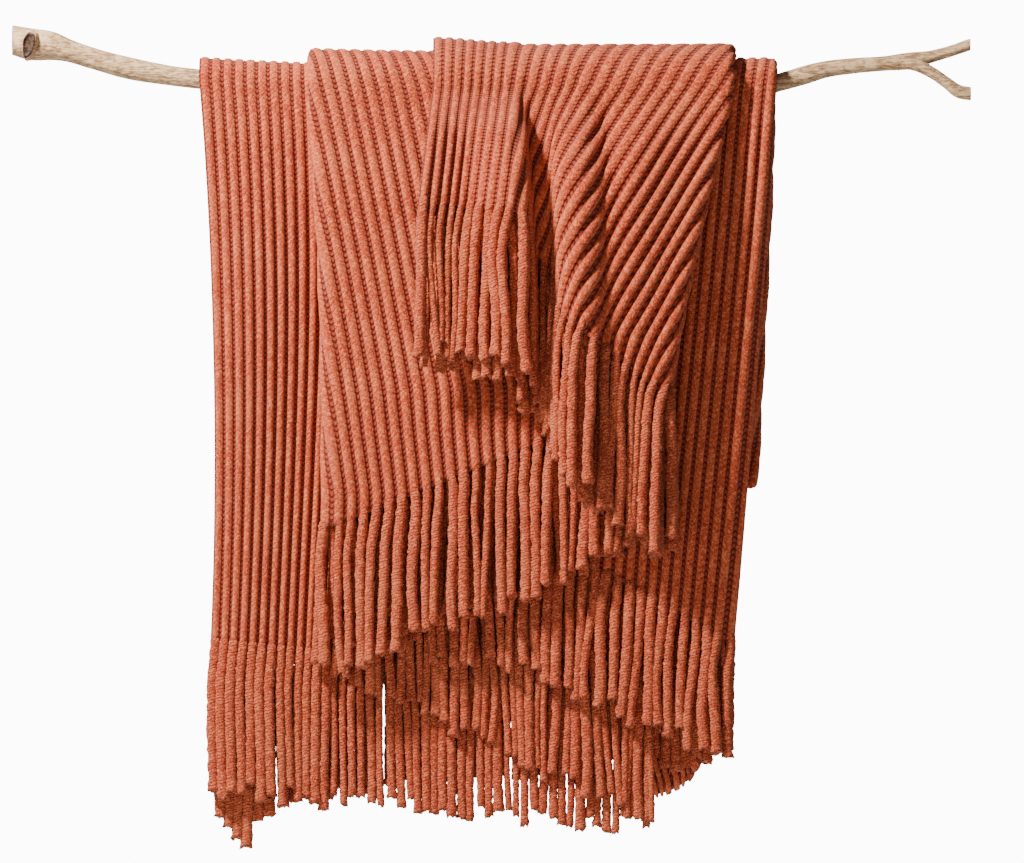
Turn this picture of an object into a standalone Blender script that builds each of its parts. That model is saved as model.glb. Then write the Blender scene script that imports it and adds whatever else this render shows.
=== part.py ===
"""Knit throw blanket, folded in four and hung over a natural branch.

The throw lies doubled: a crosswise bend low at the back joins its two plies,
and both fringed ends hang in front. The doubled cloth is also folded back and
forth lengthwise into four panels. From front to rear these are the short flap,
the middle panel, the hidden panel and the rear panel.

Metres, X along the branch, Z up, seen by looking along +Y. The origin is the
centre of the sawn left end of the branch.
"""
import math
import random
from collections import namedtuple

import bmesh
import bpy
import numpy as np
from mathutils import Vector

# The throw
RIBS = 144
RIB_PITCH = 0.0089
SHEET_THICKNESS = 0.0020
HANGING_GAP = 0.0048
STACKED_GAP = 0.0040
ROLL_GAP = 0.012

# How the layers lie over the branch
SQUEEZE = 0.36
SPREAD_DROP = 0.085
INNER_PULL = 0.047
REAR_BULGE = 0.012
REAR_BULGE_X = 0.165
REAR_BULGE_WIDTH = 0.030
REAR_BULGE_DROP = 0.20
FLAP_WAVE = 0.009
FLAP_WAVE_DROP = 0.060
BEND_REACH = 0.006
BACK_SPREAD = 3.0
FORWARD_SPREAD = 2.5
PAST_FOOT = 1.15
VALLEY_SWING = 0.9
VALLEY_FULL = 0.020
HIDDEN_BELLY = 0.017

# The fringe
STRAND_WIDTH = 0.0046
STRIP_HEIGHT = 0.005
STRIP_GAP = 0.0024
STRAND_SPLAY = 0.0016
STRAND_SWAY = 0.0009
LENGTH_SPREAD = 0.006
PLACE_IN_RIB = {1: 0.25, 2: 0.75}
STRAND_STEPS = (0.0, 0.45, 1.0)
STRAND_ROOM = 0.70
STRAND_TAPER = 0.12
ROOT_HALF_WIDTH = 0.45
FRONT_SHARE = 0.35
BACK_SHARE = 0.50
LOCK_DROP = 0.030
LOCK_X = 0.163
LOCK_WIDTH = 0.014

# The branch, where the cloth lies on it
BRANCH_END_Z = -0.028
BRANCH_SAG = 0.006
BRANCH_MIDDLE_X = 0.400
BRANCH_HALF_SPAN = 0.265
PAST_SPAN = 1.2
BRANCH_SIDES = 14

# The lines that run the length of the sheet, in the order of its width. A
# turn is +1 at a fold to the right, -1 at a fold to the left. The rib columns
# count ribs from the flap's free edge: at the foot of the front, at the
# branch in front and behind, and at the bend. The drops are measured down
# from the branch's centre line, and lift is how far the sheet stands off the
# stack there. The last two columns are the lengths of the two plies' strands.
Line = namedtuple("Line", "name turn rib_foot rib_front rib_behind rib_bend "
                  "x_foot x_bow x_top x_bend drop_1 drop_2 drop_bend "
                  "forward lift strand_1 strand_2")
LINES = (
    Line("flap_edge", 0, 0, 0, 0, 0,
         0.286, 0.0, 0.296, 0.450, 0.082, 0.090, 0.492,
         0.008, 0.0045, 0.100, 0.102),
    Line("flap_crest", 0, 10, 7.8, 6.3, 2.6,
         0.3535, 0.0, 0.3495, 0.462, 0.089, 0.100, 0.489,
         0.016, 0.0015, 0.104, 0.104),
    Line("flap_valley", 0, 15.2, 9.4, 7.4, 3.5,
         0.3700, 0.0, 0.3640, 0.468, 0.120, 0.129, 0.486,
         -0.008, 0.0, 0.104, 0.104),
    Line("flap_ridge", 0, 23, 13.3, 10.0, 5.0,
         0.4010, 0.0, 0.3980, 0.475, 0.174, 0.181, 0.482,
         0.017, 0.0, 0.104, 0.104),
    Line("right_fold", 1, 31.5, 23, 18, 9,
         0.463, -0.0035, 0.510, 0.500, 0.212, 0.217, 0.467,
         0.0, 0.0, 0.108, 0.104),
    Line("left_fold", -1, 59, 54, 52, 48,
         0.218, 0.004, 0.2065, 0.224, 0.286, 0.309, 0.343,
         0.0, 0.0, 0.102, 0.102),
    Line("outer_fold", 1, 95, 94, 93, 88,
         0.5075, 0.0, 0.539, 0.525, 0.387, 0.415, 0.278,
         0.0, 0.0, 0.082, 0.102),
    Line("rear_edge", 0, 144, 144, 144, 144,
         0.140, 0.007, 0.1316, 0.150, 0.407, 0.395, 0.267,
         0.0, 0.0, 0.100, 0.102),
)

# Distance of each panel, midway between its plies, from the branch's centre
Panel = namedtuple("Panel", "name foot top bend")
PANELS = (
    Panel("flap", 0.060, 0.0384, 0.0450),
    Panel("middle", 0.042, 0.0304, 0.0330),
    Panel("hidden", 0.028, 0.0224, 0.0220),
    Panel("rear", 0.014, 0.0144, 0.0120),
)

# The section's corners: each line, with a fold's start and end as two
Corner = namedtuple("Corner", "line panel")
CORNERS = (
    Corner(0, 0), Corner(1, 0), Corner(2, 0), Corner(3, 0), Corner(4, 0),
    Corner(4, 1), Corner(5, 1), Corner(5, 2), Corner(6, 2), Corner(6, 3),
    Corner(7, 3),
)
LAST_T = len(CORNERS) - 1
FOLD_STARTS = (4, 6, 8)
WAVE_STARTS = (1, 2)
HIDDEN_SEGMENT = 7
REAR_SEGMENT = 9
NEARBY = 1e-4
# Steps of the mesh between one corner and the next
CORNER_STEPS = (3, 4, 4, 3, 3, 6, 3, 6, 3, 8)
FRONT_ROWS = 7
OVER_ROWS = 6
BACK_ROWS = 4
BEND_ROWS = 3
FINE_PLACES = 4001
CREASE_ANGLE = math.radians(50)


def ease(share):
    """Smooth step from 0 to 1."""
    share = np.clip(share, 0.0, 1.0)
    return share * share * (3.0 - 2.0 * share)


def branch_z(x):
    """Height of the branch's centre line under the cloth."""
    share = np.clip(np.abs((x - BRANCH_MIDDLE_X) / BRANCH_HALF_SPAN), 0.0, PAST_SPAN)
    return BRANCH_END_Z - BRANCH_SAG * (1.0 - share ** 3)


def shares(line, s):
    """How far s has gone down the front, over the branch and down the back.

    s runs along the length of a ply: below 0 it is minus the drop in front,
    from 0 to pi the angle over the branch, past pi the drop behind plus pi.
    """
    front = np.clip(-s / line.drop_1, 0.0, PAST_FOOT)
    over = np.clip(s / math.pi, 0.0, 1.0)
    back = np.clip((s - math.pi) / line.drop_bend, 0.0, 1.0)
    return front, over, back


def line_x(line, s, ply):
    """Sideways place of a line."""
    front, _, back = shares(line, s)
    x = line.x_top + (line.x_foot - line.x_top) * front
    x = x + line.x_bow * 4.0 * front * (1.0 - front)
    if ply == 2 and line.name == "outer_fold":
        x = x - INNER_PULL * ease(front)
    return x + (line.x_bend - line.x_top) * back


def line_rib(line, s):
    """Rib number at a line."""
    front, over, back = shares(line, s)
    rib = line.rib_front + (line.rib_foot - line.rib_front) * np.minimum(front, 1.0)
    rib = rib + (line.rib_behind - line.rib_front) * over
    return rib + (line.rib_bend - line.rib_behind) * back


def squeeze(s):
    """Share that is left of the stack's depth, pressed together at the branch."""
    drop = np.maximum(-s, s - math.pi)
    return 1.0 - SQUEEZE * (1.0 - ease(drop / SPREAD_DROP))


def corner_depth(corner, s):
    """Distance of a corner from the branch's centre line, midway between plies.

    The first part is that of the stack on the branch, the second what the
    panel gains as it hangs.
    """
    line = LINES[corner.line]
    panel = PANELS[corner.panel]
    inner = PANELS[-1].top - STACKED_GAP / 2.0
    front, _, back = shares(line, s)
    stack = inner + (panel.top - inner) * squeeze(s)
    forward_spread = FORWARD_SPREAD if line.forward > 0.0 else 1.0
    reach = (panel.foot - panel.top) * ease(front) + line.forward * ease(forward_spread * front)
    reach = reach + (panel.bend - panel.top) * ease(BACK_SPREAD * back)
    reach = reach + line.lift * (1.0 - ease(front)) * (1.0 - ease(BACK_SPREAD * back))
    if corner.panel == 0 and corner.line < 4:
        reach = reach + BEND_REACH * ease(back)
    return stack, reach


def ply_gap(t, s):
    """Distance between the two plies."""
    drop = np.maximum(-s, s - math.pi)
    stacked = STACKED_GAP * squeeze(s)
    gap = stacked + (HANGING_GAP - stacked) * ease(drop / SPREAD_DROP)
    back = np.clip((s - math.pi) / LINES[0].drop_bend, 0.0, 1.0)
    return gap + ROLL_GAP * ease(2.0 * back - 1.0) * ease(FOLD_STARTS[0] - t)


def corner_table(s, ply):
    """x, rib number, stack depth and reach of every corner for each s."""
    table = np.zeros((4, len(CORNERS)) + np.shape(s))
    for number, corner in enumerate(CORNERS):
        line = LINES[corner.line]
        table[0, number] = line_x(line, s, ply)
        table[1, number] = line_rib(line, s)
        table[2, number], table[3, number] = corner_depth(corner, s)
    depth = table[2] + table[3]
    for start in FOLD_STARTS:
        radius = (depth[start] - depth[start + 1]) / 2.0
        turn = LINES[CORNERS[start].line].turn
        inset = radius + HANGING_GAP / 2.0 + SHEET_THICKNESS / 2.0
        table[0, start] -= turn * inset
        table[0, start + 1] -= turn * inset
        ribs = radius * math.pi / 2.0 / RIB_PITCH
        table[1, start] -= ribs
        table[1, start + 1] += ribs
    return table


def ripple(x, segment, share, s):
    """Soft waves: the rear panel's bulge at the left, the flap's hollow."""
    drop = np.maximum(-s, 0.0)
    off_centre = (x - REAR_BULGE_X) / REAR_BULGE_WIDTH
    bulge = REAR_BULGE * np.exp(-0.5 * off_centre ** 2) * ease(drop / REAR_BULGE_DROP)
    wave = FLAP_WAVE * (1.0 - np.cos(2.0 * math.pi * share)) / 2.0 * ease(drop / FLAP_WAVE_DROP)
    return np.where(segment == REAR_SEGMENT, bulge, np.where(segment == 0, -wave, 0.0))


def middle_point(t, s, ply):
    """Point of the surface midway between the plies, and its rib number."""
    t, s = np.broadcast_arrays(np.asarray(t, dtype=float), np.asarray(s, dtype=float))
    table = corner_table(s, ply)
    segment = np.clip(np.floor(t), 0, len(CORNERS) - 2).astype(int)
    share = t - segment
    first = np.take_along_axis(table, segment[None, None], axis=1)[:, 0]
    second = np.take_along_axis(table, segment[None, None] + 1, axis=1)[:, 0]
    is_fold = np.isin(segment, FOLD_STARTS)
    is_wave = np.isin(segment, WAVE_STARTS)
    round_share = (1.0 - np.cos(math.pi * share)) / 2.0
    stack_share = np.where(is_fold, round_share, share)

    swing = VALLEY_SWING * np.clip(np.abs(first[3] - second[3]) / VALLEY_FULL, 0.0, 1.0)
    shift = swing * np.sin(2.0 * math.pi * share) / (2.0 * math.pi)
    x = first[0] + (second[0] - first[0]) * (share + np.where(is_wave, shift, 0.0))
    depth = first[2] + (second[2] - first[2]) * stack_share
    depth = depth + first[3] + (second[3] - first[3]) * round_share
    depth = depth + ripple(x, segment, share, s)

    radius = (first[2] + first[3] - second[2] - second[3]) / 2.0
    turn = np.where(segment == FOLD_STARTS[1], -1.0, 1.0)
    x = np.where(is_fold, first[0] + turn * radius * np.sin(math.pi * share), x)
    rib = first[1] + (second[1] - first[1]) * share

    angle = np.clip(s, 0.0, math.pi)
    drop = np.maximum(-s, 0.0) + np.maximum(s - math.pi, 0.0)
    y = -depth * np.cos(angle)
    z = branch_z(x) - drop + depth * np.sin(angle)
    return np.stack([x, y, z], axis=-1), rib


def unit(vectors):
    """Vectors scaled to length 1."""
    return vectors / np.linalg.norm(vectors, axis=-1, keepdims=True)


def middle_frame(t, s, ply):
    """Point, direction along the ply and normal of the middle surface."""
    point, _ = middle_point(t, s, ply)
    across = middle_point(np.minimum(t + NEARBY, LAST_T), s, ply)[0]
    across = across - middle_point(np.maximum(t - NEARBY, 0.0), s, ply)[0]
    along = middle_point(t, s + NEARBY, ply)[0] - middle_point(t, s - NEARBY, ply)[0]
    return point, unit(along), unit(np.cross(across, along))


def ply_point(t, s, ply):
    """Point of a ply and the normal of its face."""
    point, _, normal = middle_frame(t, s, ply)
    side = 1.0 if ply == 1 else -1.0
    offset = side * ply_gap(t, s)[..., None] / 2.0
    return point + offset * normal, side * normal


def bend_point(t, turn):
    """Point and normal on the crosswise bend, turn being 0 to pi."""
    s = math.pi + line_drop(t, "drop_bend")
    point, along, normal = middle_frame(t, s, 1)
    outward = normal * math.cos(turn) + along * math.sin(turn)
    return point + outward * ply_gap(t, s)[..., None] / 2.0, outward


def line_drop(t, column):
    """Drop of the sheet's end or bend at t, between the lines' own drops."""
    drops = [getattr(LINES[corner.line], column) for corner in CORNERS]
    drop = np.interp(t, np.arange(len(CORNERS)), drops)
    if column == "drop_1":
        share = np.clip(t - HIDDEN_SEGMENT, 0.0, 1.0)
        drop = drop - HIDDEN_BELLY * 4.0 * share * (1.0 - share)
    return drop


def mesh_columns():
    """Values of t for the mesh's columns."""
    columns = [0.0]
    for corner, steps in enumerate(CORNER_STEPS):
        columns += [corner + (step + 1) / steps for step in range(steps)]
    return np.array(columns)


def sheet_rows(columns):
    """Points and normals row by row, from one fringed end to the other."""
    drop = {1: line_drop(columns, "drop_1"), 2: line_drop(columns, "drop_2")}
    drop_bend = line_drop(columns, "drop_bend")
    rows = []
    for ply in (1, 2):
        ply_rows = []
        for row in range(FRONT_ROWS):
            s = -drop[ply] * (1.0 - row / FRONT_ROWS)
            ply_rows.append(ply_point(columns, s, ply))
        for row in range(OVER_ROWS):
            s = np.full(columns.shape, math.pi * row / OVER_ROWS)
            ply_rows.append(ply_point(columns, s, ply))
        for row in range(BACK_ROWS):
            s = math.pi + drop_bend * row / BACK_ROWS
            ply_rows.append(ply_point(columns, s, ply))
        if ply == 2:
            ply_rows.reverse()
        else:
            for row in range(BEND_ROWS + 1):
                ply_rows.append(bend_point(columns, math.pi * row / BEND_ROWS))
        rows += ply_rows
    return rows


def mesh_object(name, vertices, faces, material):
    """Object from vertices and faces, its faces turned outward."""
    mesh = bpy.data.meshes.new(name)
    mesh.from_pydata([tuple(vertex) for vertex in vertices], [], faces)
    work = bmesh.new()
    work.from_mesh(mesh)
    bmesh.ops.triangulate(work, faces=work.faces[:])
    bmesh.ops.recalc_face_normals(work, faces=work.faces[:])
    work.to_mesh(mesh)
    work.free()
    mesh.materials.append(material)
    mesh.shade_smooth()
    mesh.set_sharp_from_angle(angle=CREASE_ANGLE)
    thing = bpy.data.objects.new(name, mesh)
    bpy.context.scene.collection.objects.link(thing)
    return thing


def build_cloth(material):
    """The one-piece sheet: two skins, closed along its four edges."""
    columns = mesh_columns()
    rows = sheet_rows(columns)
    width = len(columns)
    height = len(rows)
    half = SHEET_THICKNESS / 2.0
    upper = np.concatenate([point + half * normal for point, normal in rows])
    lower = np.concatenate([point - half * normal for point, normal in rows])
    vertices = np.concatenate([upper, lower])
    below = width * height
    faces = []
    for row in range(height - 1):
        for column in range(width - 1):
            corner = row * width + column
            quad = (corner, corner + 1, corner + width + 1, corner + width)
            faces.append(quad)
            faces.append(tuple(index + below for index in reversed(quad)))
    rim = [(0, column) for column in range(width - 1)]
    rim += [(row, width - 1) for row in range(height - 1)]
    rim += [(height - 1, column) for column in range(width - 1, 0, -1)]
    rim += [(row, 0) for row in range(height - 1, 0, -1)]
    for index, (row, column) in enumerate(rim):
        next_row, next_column = rim[(index + 1) % len(rim)]
        first = row * width + column
        second = next_row * width + next_column
        faces.append((second, first, first + below, second + below))
    return mesh_object("cloth", vertices, faces, material)


def strand_places(ply):
    """t of every strand along one end, one to a rib."""
    fine = np.linspace(0.0, LAST_T, FINE_PLACES)
    s = -line_drop(fine, "drop_%d" % ply)
    ribs = middle_point(fine, s, ply)[1]
    return np.interp(np.arange(RIBS) + PLACE_IN_RIB[ply], ribs, fine)


def along_columns(t, values):
    """Values known at the mesh's columns, read at t between them."""
    columns = mesh_columns()
    return np.stack([np.interp(t, columns, values[:, axis]) for axis in range(3)], axis=-1)


def strand_roots(ply):
    """Top and foot of the strip at every strand, with the sheet's normal."""
    t = strand_places(ply)
    columns = mesh_columns()
    drop = line_drop(columns, "drop_%d" % ply)
    top, normal = ply_point(columns, -drop - STRIP_GAP, ply)
    foot, _ = ply_point(columns, -drop - STRIP_GAP - STRIP_HEIGHT, ply)
    normal = unit(along_columns(t, normal))
    return along_columns(t, top), along_columns(t, foot), normal


def strand_lengths(foot, ply):
    """Length of every strand; a lock near the rear edge hangs lower."""
    given = [getattr(LINES[corner.line], "strand_%d" % ply) for corner in CORNERS]
    t = strand_places(ply)
    lengths = np.interp(t, np.arange(len(CORNERS)), given)
    lock = np.exp(-((foot[:, 0] - LOCK_X) / LOCK_WIDTH) ** 2)
    return lengths + np.where((t > LAST_T - 1) & (ply == 1), LOCK_DROP * lock, 0.0)


def strand_lines(ply):
    """Centres of every strand at its root, middle and tip."""
    chance = random.Random(40 + ply)
    _, foot, normal = strand_roots(ply)
    level = unit(normal * [1.0, 1.0, 0.0])
    spacing = np.linalg.norm(np.gradient(foot, axis=0), axis=1)
    lines = np.zeros((RIBS, len(STRAND_STEPS), 3))
    lengths = strand_lengths(foot, ply)
    for number in range(RIBS):
        length = lengths[number] + chance.uniform(-LENGTH_SPREAD, LENGTH_SPREAD)
        sway = chance.uniform(-1.0, 1.0) * STRAND_SWAY * min(1.0, spacing[number] / RIB_PITCH)
        side = np.cross(level[number], [0.0, 0.0, 1.0])
        for step, share in enumerate(STRAND_STEPS):
            centre = foot[number] + level[number] * STRAND_SPLAY * ease(2.0 * share)
            centre = centre + side * sway * share
            lines[number, step] = centre - np.array([0.0, 0.0, length * share])
    return lines


def strand_widths(lines, others):
    """Widths that leave room between each strand and its nearest others."""
    widths = np.full(len(lines), STRAND_WIDTH)
    every = np.concatenate([lines, others])
    for number, line in enumerate(lines):
        shared = (every[:, -1, 2] < line[0, 2]) & (every[:, 0, 2] > line[-1, 2])
        shared[number] = False
        for step in range(1, len(STRAND_STEPS)):
            for other_step in range(1, len(STRAND_STEPS)):
                apart = every[shared, other_step, :2] - line[step, :2]
                nearest = np.linalg.norm(apart, axis=1).min()
                widths[number] = min(widths[number], STRAND_ROOM * nearest)
    return widths


def build_fringe(name, ply, material):
    """The strip along one end with its hanging strands."""
    top, foot, normal = strand_roots(ply)
    level = unit(normal * [1.0, 1.0, 0.0])
    lines = strand_lines(ply)
    widths = strand_widths(lines, strand_lines(3 - ply))
    half = SHEET_THICKNESS / 2.0
    onward = 1.0 if ply == 1 else -1.0
    vertices = []
    faces = []
    for number in range(RIBS):
        out = level[number]
        side = onward * np.cross(np.array([0.0, 0.0, 1.0]), out)
        width = widths[number]
        vertices.append(top[number] + half * normal[number])
        vertices.append(top[number] - half * normal[number])
        vertices.append(foot[number] + half * out - side * width * ROOT_HALF_WIDTH)
        vertices.append(foot[number] + half * out + side * width * ROOT_HALF_WIDTH)
        vertices.append(foot[number] - half * out)
        for step, share in enumerate(STRAND_STEPS[1:], start=1):
            centre = lines[number, step]
            size = width * (1.0 - STRAND_TAPER * share)
            vertices.append(centre + out * size * FRONT_SHARE - side * size / 2.0)
            vertices.append(centre + out * size * FRONT_SHARE + side * size / 2.0)
            vertices.append(centre - out * size * BACK_SHARE)
    stride = 5 + 3 * (len(STRAND_STEPS) - 1)
    for number in range(RIBS):
        base = number * stride
        for step in range(len(STRAND_STEPS) - 1):
            first = base + 2 + 3 * step
            for index in range(3):
                after = (index + 1) % 3
                faces.append((first + index, first + after, first + 3 + after, first + 3 + index))
        faces.append((base + stride - 3, base + stride - 2, base + stride - 1))
        faces.append((base, base + 3, base + 2))
        if number == RIBS - 1:
            continue
        following = base + stride
        faces.append((base, following, following + 2, base + 3))
        faces.append((base + 1, base + 4, following + 4, following + 1))
        faces.append((base, base + 1, following + 1, following))
        faces.append((base + 3, following + 2, following + 4, base + 4))
    last = (RIBS - 1) * stride
    faces.append((0, 2, 4, 1))
    faces.append((last, last + 1, last + 4, last + 3))
    return mesh_object(name, vertices, faces, material)


# Each stretch of the branch: points with the wood's radius there
Spot = namedtuple("Spot", "x y z radius")
STEM_LEFT = (
    Spot(0.000, 0.0, 0.000, 0.0105),
    Spot(0.013, 0.0, -0.0032, 0.0114),
    Spot(0.027, 0.0, -0.0043, 0.0104),
    Spot(0.038, 0.0, -0.0072, 0.0084),
    Spot(0.056, 0.0, -0.0130, 0.0077),
    Spot(0.082, 0.0, -0.0200, 0.0079),
    Spot(0.108, 0.0, -0.0247, 0.0071),
)
STEM_RIGHT = (
    Spot(0.545, 0.0, -0.0285, 0.0062),
    Spot(0.556, 0.0, -0.0252, 0.0066),
    Spot(0.571, 0.0, -0.0210, 0.0060),
    Spot(0.592, 0.0, -0.0182, 0.0056),
    Spot(0.614, 0.0, -0.0166, 0.0054),
    Spot(0.630, 0.001, -0.0148, 0.0062),
    Spot(0.646, 0.002, -0.0117, 0.0046),
    Spot(0.660, 0.002, -0.0078, 0.0041),
    Spot(0.674, 0.002, -0.0030, 0.0043),
)
SIDE_TWIG = (
    Spot(0.622, 0.0, -0.0158, 0.0044),
    Spot(0.634, -0.002, -0.0172, 0.0046),
    Spot(0.646, -0.003, -0.0228, 0.0042),
    Spot(0.658, -0.004, -0.0310, 0.0042),
    Spot(0.665, -0.004, -0.0362, 0.0048),
    Spot(0.674, -0.004, -0.0380, 0.0047),
)
STUB = (
    Spot(0.0150, -0.0020, -0.0038, 0.0086),
    Spot(0.0135, -0.0085, -0.0036, 0.0078),
    Spot(0.0120, -0.0135, -0.0034, 0.0070),
)
COVERED_STEPS = 9
COVERED_FROM = 0.135
COVERED_TO = 0.525
COVERED_RADIUS = 0.0070


def stem_spots():
    """The stem from end to end, sagging under the cloth."""
    covered = []
    for step in range(COVERED_STEPS):
        x = COVERED_FROM + (COVERED_TO - COVERED_FROM) * step / (COVERED_STEPS - 1)
        covered.append(Spot(x, 0.0, float(branch_z(x)), COVERED_RADIUS))
    return STEM_LEFT + tuple(covered) + STEM_RIGHT


def tube_object(name, spots, level_ends, material):
    """Closed tube through the spots; level ends are cut square to X."""
    centres = [Vector(spot[:3]) for spot in spots]
    vertices = []
    faces = []
    for index, centre in enumerate(centres):
        before = centres[max(index - 1, 0)]
        after = centres[min(index + 1, len(centres) - 1)]
        ahead = (after - before).normalized()
        at_end = index in (0, len(centres) - 1)
        if level_ends and at_end:
            ahead = Vector((1.0, 0.0, 0.0))
        side = Vector((0.0, 1.0, 0.0))
        upward = ahead.cross(side).normalized() * -1.0
        side = upward.cross(ahead).normalized()
        for corner in range(BRANCH_SIDES):
            angle = 2.0 * math.pi * corner / BRANCH_SIDES
            out = side * math.cos(angle) + upward * math.sin(angle)
            vertices.append(centre + out * spots[index].radius)
    for index in range(len(centres) - 1):
        for corner in range(BRANCH_SIDES):
            following = (corner + 1) % BRANCH_SIDES
            low = index * BRANCH_SIDES
            high = low + BRANCH_SIDES
            faces.append((low + corner, low + following, high + following, high + corner))
    faces.append(tuple(range(BRANCH_SIDES)))
    last = (len(centres) - 1) * BRANCH_SIDES
    faces.append(tuple(last + corner for corner in range(BRANCH_SIDES)))
    return mesh_object(name, vertices, faces, material)


def build_branch(material):
    """Stem, forked twig and broken stub, grown together."""
    stem = tube_object("branch", stem_spots(), True, material)
    for name, spots in (("twig_shape", SIDE_TWIG), ("stub_shape", STUB)):
        shape = tube_object(name, spots, name == "twig_shape", material)
        shape.hide_render = True
        shape.display_type = "WIRE"
        union = stem.modifiers.new(name, "BOOLEAN")
        union.operation = "UNION"
        union.object = shape
    return stem


def principled(name, colour, roughness):
    """Plain material of one colour."""
    material = bpy.data.materials.new(name)
    material.use_nodes = True
    shader = material.node_tree.nodes["Principled BSDF"]
    shader.inputs["Base Color"].default_value = (*colour, 1.0)
    shader.inputs["Roughness"].default_value = roughness
    shader.inputs["Metallic"].default_value = 0.0
    return material


def main():
    """Build the throw, its two fringes and the branch."""
    for thing in list(bpy.data.objects):
        bpy.data.objects.remove(thing, do_unlink=True)
    yarn = principled("terracotta_knit", (0.56, 0.15, 0.065), 0.95)
    end_1 = principled("terracotta_fringe_outer", (0.58, 0.16, 0.07), 0.95)
    end_2 = principled("terracotta_fringe_inner", (0.52, 0.14, 0.06), 0.95)
    wood = principled("bare_branch_wood", (0.50, 0.38, 0.27), 0.75)
    build_cloth(yarn)
    build_fringe("fringe_outer", 1, end_1)
    build_fringe("fringe_inner", 2, end_2)
    build_branch(wood)


main()
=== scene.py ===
"""Looks of the knit throw on its branch: rib knit, chenille fringe and bare wood.

The throw is one sheet that lies doubled, so it has two plies, and is folded
back and forth lengthwise into four panels: from front to rear the flap, the
middle, the hidden and the rear panel. A place on a ply is (t, s). t runs
across the width, a whole number at each corner of the folded section. s runs
along the length: below 0 it is minus the drop in front of the branch, from 0
to pi the angle over the branch, and past pi the drop behind it plus pi.
"""
import functools
import math
from collections import namedtuple

import bpy
import numpy as np
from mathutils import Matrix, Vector


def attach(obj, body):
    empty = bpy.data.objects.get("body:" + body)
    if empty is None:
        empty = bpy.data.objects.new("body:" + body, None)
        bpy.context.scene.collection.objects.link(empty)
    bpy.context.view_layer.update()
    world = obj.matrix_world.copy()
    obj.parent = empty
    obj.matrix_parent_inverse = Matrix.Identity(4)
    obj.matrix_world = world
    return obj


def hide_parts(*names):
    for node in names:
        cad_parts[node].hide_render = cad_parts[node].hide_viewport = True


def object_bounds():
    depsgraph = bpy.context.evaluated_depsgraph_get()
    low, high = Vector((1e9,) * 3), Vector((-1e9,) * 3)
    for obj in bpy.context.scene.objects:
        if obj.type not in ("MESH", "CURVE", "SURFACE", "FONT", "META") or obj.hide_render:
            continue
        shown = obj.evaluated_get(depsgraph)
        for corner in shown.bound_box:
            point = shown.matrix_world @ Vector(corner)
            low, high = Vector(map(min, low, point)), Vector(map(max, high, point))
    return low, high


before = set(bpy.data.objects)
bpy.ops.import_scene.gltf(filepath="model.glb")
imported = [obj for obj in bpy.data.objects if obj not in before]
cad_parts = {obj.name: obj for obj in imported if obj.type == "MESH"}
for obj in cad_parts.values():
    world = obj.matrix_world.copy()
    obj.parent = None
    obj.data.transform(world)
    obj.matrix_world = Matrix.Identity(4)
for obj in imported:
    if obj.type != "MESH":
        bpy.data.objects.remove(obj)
cad_low, cad_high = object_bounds()

# The throw, as in the solids. Lengths are in metres throughout.
RIBS = 144
RIB_PITCH = 0.0089
SHEET_THICKNESS = 0.0020

# Gap between the plies where they hang, on the branch and in the bend behind
HANGING_GAP = 0.0048
STACKED_GAP = 0.0040
ROLL_GAP = 0.012

# How the stack is pressed together on the branch and spreads below it
SQUEEZE = 0.36
SPREAD_DROP = 0.085
FORWARD_SPREAD = 2.5
BACK_SPREAD = 3.0
BEND_REACH = 0.006
PAST_FOOT = 1.15
INNER_PULL = 0.047
HIDDEN_BELLY = 0.017

# Soft waves: a bulge of the rear panel, then the flap's hollow, dip and valley
REAR_BULGE = 0.012
REAR_BULGE_X = 0.165
REAR_BULGE_WIDTH = 0.030
REAR_BULGE_DROP = 0.20
FLAP_WAVE = 0.009
FLAP_WAVE_DROP = 0.060
FLAP_DIP = 0.009
FLAP_DIP_X = 0.4155
FLAP_DIP_STEEP = 0.0085
FLAP_DIP_GENTLE = 0.018
FLAP_DIP_DROP = 0.035
VALLEY_SWING = 0.9
VALLEY_FULL = 0.020

# The branch's centre line under the cloth
BRANCH_END_Z = -0.028
BRANCH_SAG = 0.006
BRANCH_MIDDLE_X = 0.400
BRANCH_HALF_SPAN = 0.265
PAST_SPAN = 1.2

# The knit's relief: columns across one rib and their heights, -1 to 1
RIB_SHARES = (0.0, 0.13, 0.26, 0.5, 0.74, 0.87)
RIB_HEIGHTS = (-0.85, -0.95, 0.65, 1.0, 0.65, -0.95)
RIB_BASE = 0.0008
RIB_RELIEF = 0.0006
RIB_SWELL = 1.2
SWELL_DROP = 0.05
STITCH_PITCH = 0.0035

# The plain inner face: its depth in the sheet and how many columns it skips
INNER_FACE = 0.0009
INNER_STEP = 3

# Rows in front, over the branch, behind it and round the bend at its foot, and
# the places along a row between which its ribs are found
FRONT_ROWS = 60
OVER_ROWS = 14
BACK_ROWS = 40
BEND_ROWS = 6
FINE_PLACES = 1601

# The fringe's strands: size, spacing and mesh
LENGTH_SPREAD = 0.0075
PLACE_IN_RIB = {1: 0.25, 2: 0.75}
STRAND_RADIUS = 0.0038
LEAST_RADIUS = 0.0025
RADIUS_SPREAD = 0.08
STRAND_ROOM = 0.64
STRAND_OVERLAP = 0.004
STRAND_RINGS = 46
STRAND_SIDES = 10
HEM_SHARE = 0.97
STRAND_TURN = 0.007
STEEPEST = 1.3

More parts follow.
